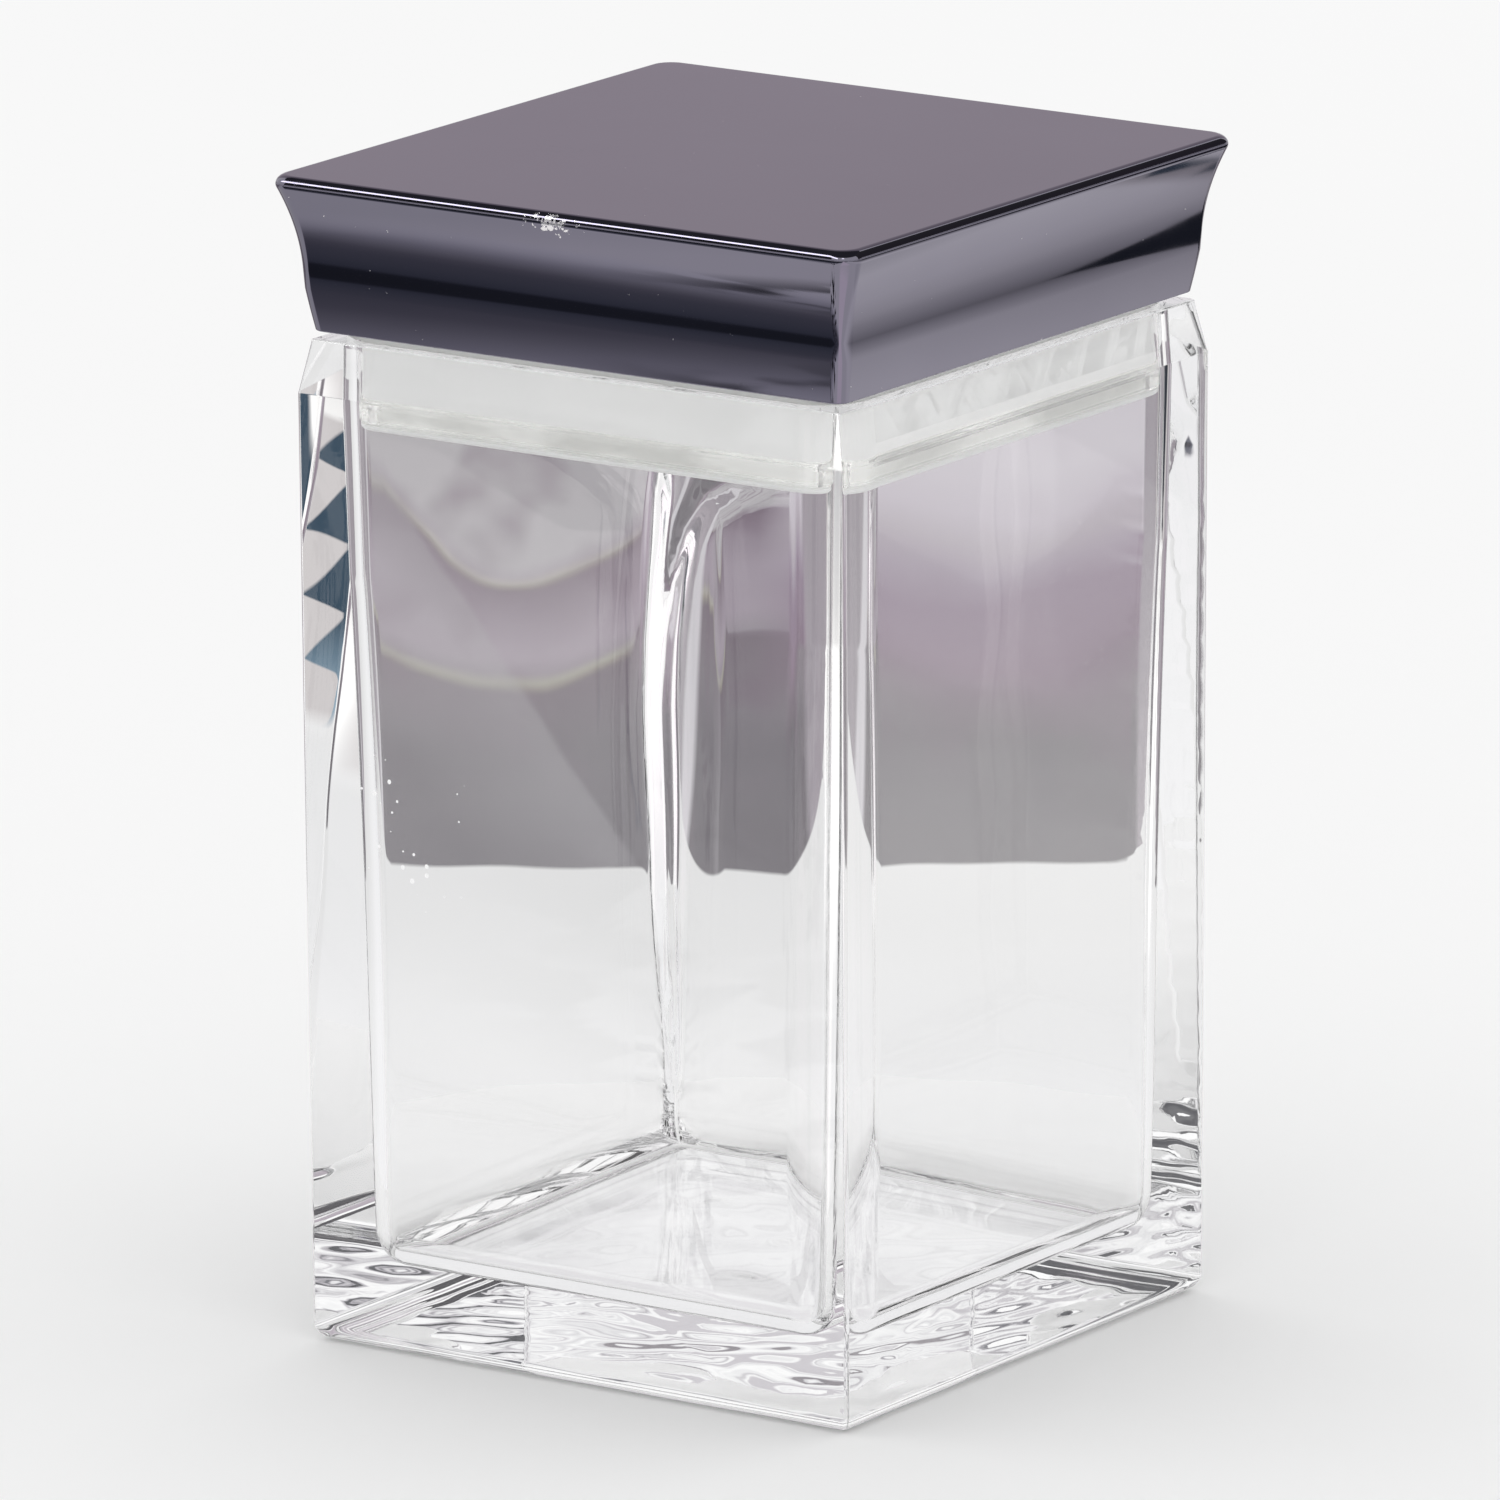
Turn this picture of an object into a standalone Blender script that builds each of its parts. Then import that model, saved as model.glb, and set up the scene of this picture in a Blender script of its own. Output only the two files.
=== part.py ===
"""A square, thick-walled clear jar with a flared, metal-plated lid that lifts straight off.

Metres, +Z up. The origin is the centre of the jar's underside, and the jar's walls face +X, -X, +Y and -Y.
Every piece is a loft: rounded squares, one above the other or one inside the other, joined by quads.
"""

import math

import bmesh
import bpy

MM = 0.001
CLEARANCE = 0.3 * MM
SHARP_ANGLE = math.radians(30)

# Jar: outside
BODY_HALF = 45.0 * MM
BASE_HALF = 44.45 * MM
BODY_CORNER = 0.6 * MM
FOOT_RADIUS = 2.5 * MM
SHOULDER_Z = 133.9 * MM
RIM_Z = 141.4 * MM
RIM_HALF = 43.7 * MM
RIM_EDGE = 0.4 * MM
SHOULDER_TILT = 10

# Jar: hollow
MOUTH_HALF = 41.4 * MM
FLOOR_HALF = 37.9 * MM
CAVITY_CORNER = 6.8 * MM
FLOOR_CORNER = 5.6 * MM
FLOOR_Z = 11.0 * MM
FLOOR_FILLET = 5.0 * MM

# Lid cover
TOP_Z = 164.4 * MM
TOP_HALF = 47.7 * MM
BEAD_RADIUS = 1.3 * MM
LID_CORNER = 2.2 * MM
CORNER_SPREAD = 0.3
UNDERCUT = -25
WAIST_Z = 149.2 * MM
WAIST_HALF = 44.8 * MM
COVER_FOOT_Z = 142.5 * MM
COVER_FOOT_HALF = 43.6 * MM
COVER_WALL = 1.2 * MM
COVER_ROOF = 2.0 * MM

# Lid plug
PLUG_GAP = 0.7 * MM
PLUG_EDGE = 0.3 * MM
PLUG_CORNER_SHARE = 0.8
PLUG_BOTTOM_Z = 129.2 * MM
LIP_HEIGHT = 0.7 * MM
GROOVE_HEIGHT = 3.2 * MM
GROOVE_DEPTH = 3.2 * MM
PLUG_WALL = 1.8 * MM
PLUG_FLOOR = 1.6 * MM
FLANGE_TOP_Z = 146.5 * MM

# Seal ring
SEAL_STAND = 0.4 * MM
SEAL_EDGE = 0.4 * MM

CORNER_STEPS = 10
EDGE_STEPS = 6
FLARE_STEPS = 14


def rounded_square(half, radius, z):
    """Points of a square with round corners, counterclockwise from above."""
    points = []
    centre = half - radius
    for quarter in range(4):
        turn = quarter * math.pi / 2
        for step in range(CORNER_STEPS + 1):
            angle = turn + step / CORNER_STEPS * math.pi / 2
            corner_x = centre if quarter in (0, 3) else -centre
            corner_y = centre if quarter in (0, 1) else -centre
            points.append((corner_x + radius * math.cos(angle), corner_y + radius * math.sin(angle), z))
    return points


def arc(centre_half, centre_z, radius, start, end, steps):
    """(half width, height) along a circular arc of the section, angles in degrees from straight out."""
    found = []
    for step in range(steps + 1):
        angle = math.radians(start + (end - start) * step / steps)
        found.append((centre_half + radius * math.cos(angle), centre_z + radius * math.sin(angle)))
    return found


def section(points, corner_at):
    """Rings for a list of (half width, height) points, each corner's radius taken from corner_at."""
    return [rounded_square(half, corner_at(half, z), z) for half, z in points]


def loft(name, rings, material, joined=False):
    """A closed mesh through the rings, from the outside down to up and back inside; capped unless joined."""
    mesh = bpy.data.meshes.new(name)
    work = bmesh.new()
    loops = [[work.verts.new(point) for point in ring] for ring in rings]
    pairs = list(zip(loops, loops[1:]))
    if joined:
        pairs.append((loops[-1], loops[0]))
    for lower, upper in pairs:
        for index in range(len(lower)):
            after = (index + 1) % len(lower)
            work.faces.new((lower[index], lower[after], upper[after], upper[index]))
    if not joined:
        work.faces.new(reversed(loops[0]))
        work.faces.new(loops[-1])
    work.to_mesh(mesh)
    work.free()
    mesh.shade_smooth()
    mesh.set_sharp_from_angle(angle=SHARP_ANGLE)
    mesh.materials.append(material)
    piece = bpy.data.objects.new(name, mesh)
    bpy.context.scene.collection.objects.link(piece)
    return piece


def finish(name, colour, roughness, metallic=0.0, clear=0.0, index=1.49):
    """A Principled material of one colour."""
    material = bpy.data.materials.new(name)
    material.use_nodes = True
    shader = material.node_tree.nodes["Principled BSDF"]
    shader.inputs["Base Color"].default_value = (*colour, 1.0)
    shader.inputs["Roughness"].default_value = roughness
    shader.inputs["Metallic"].default_value = metallic
    shader.inputs["Transmission Weight"].default_value = clear
    shader.inputs["IOR"].default_value = index
    return material


def cavity_half(z):
    """Half the hollow's width at a height: it narrows evenly from the mouth to the floor."""
    share = (z - FLOOR_Z) / (RIM_Z - FLOOR_Z)
    return FLOOR_HALF + (MOUTH_HALF - FLOOR_HALF) * share


def cavity_corner(z):
    """Radius of the hollow's upright corners at a height."""
    share = (z - FLOOR_Z) / (RIM_Z - FLOOR_Z)
    return FLOOR_CORNER + (CAVITY_CORNER - FLOOR_CORNER) * share


def jar_body():
    """The clear body: a tapered box with a sloped shoulder, hollow from its mouth down to a heavy base."""
    outside = arc(BASE_HALF - FOOT_RADIUS, FOOT_RADIUS, FOOT_RADIUS, -90, 0, EDGE_STEPS)
    outside.append((BODY_HALF, SHOULDER_Z))
    outside += arc(RIM_HALF - RIM_EDGE, RIM_Z - RIM_EDGE, RIM_EDGE, SHOULDER_TILT, 90, EDGE_STEPS)
    rings = section(outside, lambda half, z: BODY_CORNER)
    mouth = [(MOUTH_HALF + RIM_EDGE * (1 - math.sin(a)), RIM_Z - RIM_EDGE * (1 - math.cos(a)))
             for a in (step / EDGE_STEPS * math.pi / 2 for step in range(EDGE_STEPS + 1))]
    rings += section(mouth, lambda half, z: CAVITY_CORNER + half - MOUTH_HALF)
    fillet_half = cavity_half(FLOOR_Z + FLOOR_FILLET)
    for step in range(EDGE_STEPS + 1):
        angle = step / EDGE_STEPS * math.pi / 2
        inset = FLOOR_FILLET * (1 - math.cos(angle))
        z = FLOOR_Z + FLOOR_FILLET * (1 - math.sin(angle))
        radius = cavity_corner(FLOOR_Z + FLOOR_FILLET) - inset
        rings.append(rounded_square(fillet_half - inset, radius, z))
    return loft("jar_body", rings, finish("clear_acrylic", (1.0, 1.0, 1.0), 0.0, clear=1.0))


def cover_corner(half, z):
    """The lid's corner radius, larger where the lid is wider, as on a flared square."""
    return LID_CORNER + (half - WAIST_HALF) * CORNER_SPREAD


def lid_cover():
    """The plated cover: a flat top with a round edge, a concave flare to the waist and a skirt that tapers in."""
    bead = arc(TOP_HALF - BEAD_RADIUS, TOP_Z - BEAD_RADIUS, BEAD_RADIUS, 90, UNDERCUT, EDGE_STEPS * 2)
    bead_half, bead_z = bead[-1]
    flare = []
    for step in range(1, FLARE_STEPS + 1):
        share = 1 - step / FLARE_STEPS
        z = WAIST_Z + (bead_z - WAIST_Z) * share
        flare.append((WAIST_HALF + (bead_half - WAIST_HALF) * share ** 2, z))
    inside_half = COVER_FOOT_HALF - COVER_WALL
    outline = bead + flare
    outline.append((COVER_FOOT_HALF, COVER_FOOT_Z))
    outline.append((inside_half, COVER_FOOT_Z))
    outline.append((inside_half, TOP_Z - COVER_ROOF))
    rings = section(outline, cover_corner)
    rings.reverse()
    return loft("lid_cover", rings, finish("black_chrome", (0.085, 0.088, 0.11), 0.06, metallic=1.0))


def plug_half():
    """Half the plug's width: it clears the hollow by PLUG_GAP where the plug ends."""
    return cavity_half(PLUG_BOTTOM_Z) - PLUG_GAP


def plug_corner(half, z):
    """Corner radius of the plug and of its seal, in step with the hollow's corner."""
    return CAVITY_CORNER - (MOUTH_HALF - half) * PLUG_CORNER_SHARE


def lid_plug():
    """The insert: an open-topped tub whose flange sits on the rim, with a groove for the seal near its foot."""
    half = plug_half()
    lip_z = PLUG_BOTTOM_Z + LIP_HEIGHT
    groove_top = lip_z + GROOVE_HEIGHT
    core = half - GROOVE_DEPTH
    flange = COVER_FOOT_HALF - COVER_WALL - CLEARANCE
    seat = RIM_Z + CLEARANCE
    hollow = core - PLUG_WALL
    outline = [
        (half - PLUG_EDGE, PLUG_BOTTOM_Z),
        (half, PLUG_BOTTOM_Z + PLUG_EDGE),
        (half, lip_z),
        (core, lip_z),
        (core, groove_top),
        (half, groove_top),
        (half, seat),
        (flange, seat),
        (flange, FLANGE_TOP_Z),
        (hollow, FLANGE_TOP_Z),
        (hollow, PLUG_BOTTOM_Z + PLUG_FLOOR),
    ]
    rings = section(outline, plug_corner)
    return loft("lid_plug", rings, finish("frosted_polyethylene", (0.86, 0.87, 0.85), 0.45))


def seal_ring():
    """The soft clear ring that fills the plug's groove and stands proud of it towards the jar's wall."""
    low = PLUG_BOTTOM_Z + LIP_HEIGHT + CLEARANCE
    high = PLUG_BOTTOM_Z + LIP_HEIGHT + GROOVE_HEIGHT - CLEARANCE
    inner = plug_half() - GROOVE_DEPTH + CLEARANCE
    outer = plug_half() + SEAL_STAND
    outline = [
        (inner, low),
        (outer - SEAL_EDGE, low),
        (outer, low + SEAL_EDGE),
        (outer, high - SEAL_EDGE),
        (outer - SEAL_EDGE, high),
        (inner, high),
    ]
    rings = section(outline, plug_corner)
    return loft("seal_ring", rings, finish("clear_silicone", (0.95, 0.96, 0.96), 0.15, clear=0.9, index=1.41),
                joined=True)


def lid_pivot(pieces):
    """An empty on the lid's line of travel, which carries the lid's pieces."""
    pivot = bpy.data.objects.new("lid", None)
    pivot.location = (0.0, 0.0, RIM_Z)
    bpy.context.scene.collection.objects.link(pivot)
    bpy.context.view_layer.update()
    for piece in pieces:
        piece.parent = pivot
        piece.matrix_parent_inverse = pivot.matrix_world.inverted()


def main():
    for leftover in list(bpy.data.objects):
        bpy.data.objects.remove(leftover, do_unlink=True)
    jar_body()
    lid_pivot([lid_cover(), lid_plug(), seal_ring()])


main()
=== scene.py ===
"""The look of the specimen jar: fine surfaces over the CAD pieces, their materials, a pale table and soft light.

Metres, +Z up, in the frame's own axes. Lengths below are given in millimetres times MM.
"""

import math

import bpy
import numpy as np
from mathutils import Matrix


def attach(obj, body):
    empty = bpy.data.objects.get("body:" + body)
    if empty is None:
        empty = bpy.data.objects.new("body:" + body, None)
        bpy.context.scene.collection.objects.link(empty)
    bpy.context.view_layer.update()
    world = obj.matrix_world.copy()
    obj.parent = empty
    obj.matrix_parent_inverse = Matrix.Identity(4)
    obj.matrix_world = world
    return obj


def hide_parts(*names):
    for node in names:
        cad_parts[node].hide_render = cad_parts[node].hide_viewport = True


MM = 0.001
RIGHT_ANGLE = math.pi / 2

# Steps of the fine surfaces
CORNER_STEPS = 14
SIDE_STEPS = 44
EDGE_STEPS = 8
HEIGHT_STEP = 1.25 * MM
FLAT_CORNER_SHARE = 0.05
DISC_STEPS = 10
SKIRT_STEPS = 8
FLARE_STEPS = 28
WAIST_SKIP = 4

# Jar outside
BODY_HALF = 45.0 * MM
BASE_HALF = 44.45 * MM
BODY_CORNER = 0.6 * MM
FOOT_RADIUS = 2.5 * MM
SHOULDER_Z = 133.9 * MM
RIM_Z = 141.4 * MM
RIM_HALF = 43.7 * MM
RIM_EDGE = 0.4 * MM

# Jar hollow: its upright corners swell up to FULLEST_Z and close again at LEDGE_Z
MOUTH_HALF = 41.4 * MM
FLOOR_HALF = 37.9 * MM
CAVITY_CORNER = 6.8 * MM
FLOOR_CORNER = 5.6 * MM
FLOOR_Z = 11.0 * MM
FLOOR_FILLET = 5.0 * MM
FULLEST_Z = 70.0 * MM
LEDGE_Z = 108.0 * MM
CORNER_EXTRA = np.array([1.0, 3.0, 1.0, 1.0]) * MM

# Moulding marks: the height and the length of each field of waves
OUTSIDE_WAVE = (0.012 * MM, 30 * MM)
HOLLOW_WAVE = (0.022 * MM, 24 * MM)
FLOOR_WAVE = (0.016 * MM, 16 * MM)
FOOT_WAVE = (0.06 * MM, 17 * MM)
FOOT_STRETCH = (0.35, 0.35, 2.1)
FOOT_TOP_Z = 15 * MM
UNDERSIDE_WAVE = (0.08 * MM, 14 * MM)
CHATTER = (0.012 * MM, 5.0 * MM)

# A flow mark in the hollow's back corner: (distance round the corner, height) along its crest
FLOW_MARK = np.array([
    (-0.7, 17.0),
    (-2.8, 32.0),
    (-4.3, 47.0),
    (-5.0, 62.0),
    (-5.0, 74.0),
    (-4.0, 84.0),
    (-2.0, 92.0),
    (1.0, 98.5),
    (5.0, 103.0),
    (10.0, 106.0),
    (16.0, 107.8),
    (24.0, 108.5),
]) * MM
FLOW_MARK_HEIGHT = 1.3 * MM
FLOW_MARK_WIDTH = 2.3 * MM

# Lid cover
TOP_Z = 164.4 * MM
TOP_HALF = 47.7 * MM
BEAD_RADIUS = 1.3 * MM
LID_CORNER = 2.2 * MM
CORNER_SPREAD = 0.3
UNDERCUT = -25
SKIRT_TURN = math.radians(2.4)
WAIST_Z = 149.2 * MM
WAIST_HALF = 44.8 * MM
COVER_FOOT_Z = 142.5 * MM
COVER_FOOT_HALF = 43.6 * MM
COVER_WALL = 1.2 * MM
COVER_ROOF = 2.0 * MM
COVER_FOOT_EDGE = 0.25 * MM

# Plating: its darker and paler clouds, and the bare metal under it
CHROME_DARK = (0.180, 0.170, 0.216)
CHROME_PALE = (0.198, 0.188, 0.236)
BARE_METAL = (0.9, 0.88, 0.88)

# Wear: a chipped spot on the lid's front edge, and dust on the jar's front wall
CHIP_X = -0.5 * MM
CHIP_Z = TOP_Z - 1.6 * MM
DUST_X = (-38 * MM, -32 * MM, -22 * MM, -14 * MM)
DUST_Z = (62 * MM, 70 * MM, 78 * MM, 88 * MM)

# View
CAMERA_AZIMUTH = 34.25
CAMERA_ELEVATION = 13.63
CAMERA_ROLL = -0.29
CAMERA_DISTANCE = 2.40834
CAMERA_SHIFT_RIGHT = -0.97 * MM
CAMERA_AIM_Z = 80.63 * MM
CAMERA_LENS = 419.9

# Room, seen only by reflection and refraction: metres away from or across the view, and linear colours
TABLE_EDGE = 0.231
LEFT_STOPS = (
    (0.19, (1.04, 1.03, 1.03)),
    (0.206, (1.0, 1.0, 1.02)),
    (0.224, (0.87, 0.87, 0.90)),
    (0.24, (0.68, 0.68, 0.72)),
    (0.26, (0.47, 0.47, 0.51)),
    (0.283, (0.32, 0.32, 0.35)),
    (0.305, (0.205, 0.205, 0.235)),
    (0.335, (0.155, 0.16, 0.19)),
    (0.40, (0.125, 0.135, 0.165)),
    (0.45, (0.10, 0.11, 0.14)),
    (0.475, (0.038, 0.042, 0.055)),
    (0.60, (0.036, 0.040, 0.050)),
)
RIGHT_STOPS = (
    (0.18, (1.0, 1.0, 1.0)),
    (0.24, (1.17, 1.17, 1.16)),
    (0.30, (1.10, 1.10, 1.09)),
    (0.36, (0.93, 0.93, 0.92)),
    (0.40, (0.74, 0.74, 0.74)),
    (0.46, (0.55, 0.55, 0.56)),
    (0.52, (0.38, 0.38, 0.39)),
    (0.70, (0.32, 0.32, 0.34)),
)
BEHIND_STOPS = (
    (0.22, (0.15, 0.137, 0.152)),
    (0.30, (0.17, 0.155, 0.172)),
    (0.35, (0.25, 0.226, 0.25)),
    (0.40, (0.36, 0.33, 0.36)),
    (0.60, (0.60, 0.56, 0.60)),
)
BEHIND_BANDS = (
    (0.340, 50.0, (0.37, 0.32, 0.37), 0.26),
    (0.402, 100.0, (0.48, 0.46, 0.48), 0.2),
)
BEHIND_RIGHT_STOPS = (
    (0.318, (0.25, 0.215, 0.245)),
    (0.350, (0.28, 0.21, 0.27)),
    (0.385, (0.33, 0.26, 0.33)),
    (0.403, (0.44, 0.38, 0.45)),
    (0.422, (0.55, 0.50, 0.55)),
    (0.441, (0.66, 0.61, 0.67)),
    (0.477, (0.74, 0.70, 0.75)),
)
BEHIND_SIDES = (
    (0.09, 0.11, (0.36, 0.325, 0.36)),
    (-0.10, -0.115, (0.62, 0.60, 0.63)),
    (-0.145, -0.16, (0.33, 0.30, 0.33)),
)
BEHIND_SHADOW = (0.13, 0.09, 0.12)
BEHIND_THREAD = (0.64, 0.65, 0.42)
BEHIND_BLOTCH = (0.19, 0.135, 0.18)
BEHIND_WEDGE = (0.40, 0.385, 0.405)
BEND_CENTRE = 0.037
BEND_LIMIT = 0.0006
WEDGE_SLOPE = 5.5
WEDGE_PLACE = 0.127
HAZE_STOPS = (
    (0.36, (0.16, 0.16, 0.18)),
    (0.42, (0.50, 0.48, 0.51)),
    (0.50, (0.86, 0.86, 0.87)),
    (0.56, (1.0, 1.0, 1.0)),
    (0.62, (0.62, 0.60, 0.63)),
)
FAR_BLUE = (0.048, 0.082, 0.12)
FAR_RIGHT = (0.035, 0.04, 0.052)
PALE_BLUE = (0.28, 0.40, 0.50)
BETWEEN_FINS = (0.64, 0.61, 0.61)
WHITE = (1.0, 1.0, 1.0)
VEIL_NEAR = (0.90, 0.90, 0.91)
VEIL_FAR = (0.78, 0.78, 0.78)
FRONT_LIGHT = (1.3, 1.18, 1.25)
FRONT_MARK = (0.05, 0.05, 0.06)

# The row of dark wedges at the table's far right: its two ends, each wedge's length and slant, and its depth
FINS_START = 0.201
FINS_END = 0.352
FIN_LENGTH = 0.034
FIN_SLANT = 0.351
FIN_REACH = 7.2 * MM
FIN_FRONT = 66 * MM
FIN_TIP = 79.3 * MM
FIN_BACK = 82 * MM

# Upright cards: name, degrees right of straight away, distance, width, low and high edges, colours by height
WALL_CARDS = (
    ("back_card", 0, 0.5, 0.7, 0.21, 0.9, ((0.2, (0.54, 0.48, 0.54)), (0.9, (0.2, 0.18, 0.2)))),
    ("right_card", 75, 0.5, 0.6, 0.19, 0.9, ((0.2, (0.06, 0.055, 0.065)), (0.9, (0.08, 0.08, 0.08)))),
    ("left_card", -114, 0.5, 0.20, 0.20, 0.42, ((0.2, (0.06, 0.06, 0.07)), (0.42, (0.03, 0.03, 0.03)))),
    ("right_bar", 70, 0.52, 0.6, 0.150, 0.155, ((0.1, (0.10, 0.10, 0.11)), (0.2, (0.10, 0.10, 0.11)))),
    ("left_bar", -112, 0.52, 0.6, 0.120, 0.125, ((0.1, (0.10, 0.10, 0.11)), (0.2, (0.10, 0.10, 0.11)))),
    ("back_bar", 0, 0.52, 0.6, 0.160, 0.165, ((0.1, (0.3, 0.28, 0.3)), (0.2, (0.3, 0.28, 0.3)))),
)
SOFTBOXES = (
    ("left_box", -112, 0.5, 0.9, 0.43, 0.58, ((0.4, (6.0, 6.0, 6.2)), (0.6, (6.0, 6.0, 6.2)))),
    ("front_box", 180, 0.5, 0.10, 0.40, 0.55, ((0.4, (4.0, 4.0, 4.0)), (0.6, (4.0, 4.0, 4.0)))),
)

# Rings round the jar: sides, then the (radius, height) of each edge, in metres
TABLE_RING = (96, (0.12, 0.2 * MM), (9.0, 0.2 * MM))
HAZE_RING = (72, (0.56, 0.075), (0.56, 0.19))
ROOF_RING = (48, (0.05, 0.95), (0.62, 0.72))

TABLE_REACH = 12.0
TABLE_Z = -0.1 * MM


# ---------------------------------------------------------------- surfaces


def arc(centre_half, centre_z, radius, start, end, steps, inward=False):
    """Section points (half width, height, normal out, normal up) on an arc, angles in degrees from straight out."""
    found = []
    turn = -1.0 if inward else 1.0
    for angle in np.radians(np.linspace(start, end, steps + 1)):
        out, up = math.cos(angle), math.sin(angle)
        found.append((centre_half + radius * out, centre_z + radius * up, turn * out, turn * up))
    return found


def line(start, end, step=HEIGHT_STEP):
    """Section points on a straight stretch; its normal is on the right-hand side going from start to end."""
    span = math.hypot(end[0] - start[0], end[1] - start[1])
    count = max(1, math.ceil(span / step))
    out, up = (end[1] - start[1]) / span, (start[0] - end[0]) / span
    return [
        (start[0] + (end[0] - start[0]) * t, start[1] + (end[1] - start[1]) * t, out, up)
        for t in np.linspace(0.0, 1.0, count + 1)
    ]


def plan(half, radii):
    """Points of a round-cornered square, the way each faces and its quarter, counterclockwise from above."""
    arcs = []
    for quarter, radius in enumerate(radii):
        radius = min(radius, half)
        signs = np.array([1.0 if quarter in (0, 3) else -1.0, 1.0 if quarter in (0, 1) else -1.0])
        angles = np.linspace(quarter, quarter + 1, CORNER_STEPS + 1) * RIGHT_ANGLE
        way = np.column_stack([np.cos(angles), np.sin(angles)])
        arcs.append(((half - radius) * signs + radius * way, way))
    points, facing, quarters = [], [], []
    shares = (1.0 - np.cos(np.linspace(0.0, math.pi, SIDE_STEPS + 1)))[1:-1, None] / 2
    for quarter, (bend, way) in enumerate(arcs):
        start, end = bend[-1], arcs[(quarter + 1) % 4][0][0]
        points += [bend, start + (end - start) * shares]
        facing += [way, np.tile(way[-1], (len(shares), 1))]
        quarters += [quarter] * (len(bend) + len(shares))
    return np.concatenate(points), np.concatenate(facing), np.array(quarters)


def skin(name, section, corner, material, ripple=None, closed=True):
    """A surface through a rounded square for each section point, with exact normals and an optional fine ripple."""
    rings, normals = [], []
    for half, z, out, up in section:
        radii = np.broadcast_to(corner(half, z), 4)
        if out == 0.0:
            points, facing, _ = plan(half, np.maximum(radii, half * FLAT_CORNER_SHARE))
            rings.append(np.column_stack([points, np.full(len(points), z)]))
            normals.append(np.tile((0.0, 0.0, up), (len(points), 1)))
            continue
        points, facing, quarters = plan(half, radii)
        small = 0.001 * MM
        growth = corner(half - up * small, z + out * small) - corner(half + up * small, z - out * small)
        growth = np.broadcast_to(growth / (2 * small), 4)[quarters]
        rise = -((-up - growth) * np.abs(facing).sum(axis=1) + growth)
        rings.append(np.column_stack([points, np.full(len(points), z)]))
        normals.append(np.column_stack([facing * out, rise]))
    count = len(rings[0])
    points, normals = np.concatenate(rings), np.concatenate(normals)
    normals /= np.linalg.norm(normals, axis=1)[:, None]
    if ripple is not None:
        points, normals = rippled(points, normals, ripple)
    faces = []
    for level in range(len(rings) - 1):
        for index in range(count):
            after = (index + 1) % count
            low, high = level * count, (level + 1) * count
            faces.append((low + index, low + after, high + after, high + index))
    if closed:
        faces.append(tuple(reversed(range(count))))
        faces.append(tuple(range((len(rings) - 1) * count, len(rings) * count)))
    else:
        last = (len(rings) - 1) * count
        for index in range(count):
            after = (index + 1) % count
            faces.append((last + index, last + after, after, index))
    mesh = bpy.data.meshes.new(name)
    mesh.from_pydata(points.tolist(), [], faces)
    mesh.shade_smooth()
    mesh.normals_split_custom_set_from_vertices(normals.tolist())
    mesh.materials.append(material)
    piece = bpy.data.objects.new(name, mesh)
    bpy.context.scene.collection.objects.link(piece)
    return piece


def rippled(points, normals, ripple):
    """The points moved along their normals by ripple(points, normals), and the normals turned to suit."""
    small = 0.05 * MM
    slope = np.zeros_like(points)
    for axis in range(3):
        step = np.zeros(3)
        step[axis] = small
        slope[:, axis] = (ripple(points + step, normals) - ripple(points - step, normals)) / (2 * small)
    slope -= normals * (slope * normals).sum(axis=1)[:, None]
    turned = normals - slope
    turned /= np.linalg.norm(turned, axis=1)[:, None]
    return points + normals * ripple(points, normals)[:, None], turned


def disc(half, z, up, out_to_in):
    """Section points across a flat face, from its middle to its edge or back."""
    halves = [0.4 * MM, *np.linspace(0.1, 1.0, DISC_STEPS)[:-1] * half]
    if out_to_in:
        halves.reverse()
    return [(h, z, 0.0, up) for h in halves]


def cavity_half(z):
    return FLOOR_HALF + (MOUTH_HALF - FLOOR_HALF) * (z - FLOOR_Z) / (RIM_Z - FLOOR_Z)


def cavity_corner(z):
    """The hollow's four corner radii at a height."""
    plain = FLOOR_CORNER + (CAVITY_CORNER - FLOOR_CORNER) * (z - FLOOR_Z) / (RIM_Z - FLOOR_Z)
    if z < FULLEST_Z:
        swell = fade(z, FLOOR_Z + FLOOR_FILLET, FULLEST_Z)
    else:
        swell = max(0.0, 1.0 - ((z - FULLEST_Z) / (LEDGE_Z - FULLEST_Z)) ** 2) ** 0.7
    return plain + CORNER_EXTRA * swell


def fade(value, start, end):
    """From 0 at start to 1 at end, smoothly."""
    share = np.clip((value - start) / (end - start), 0.0, 1.0)
    return share * share * (3.0 - 2.0 * share)


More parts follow.
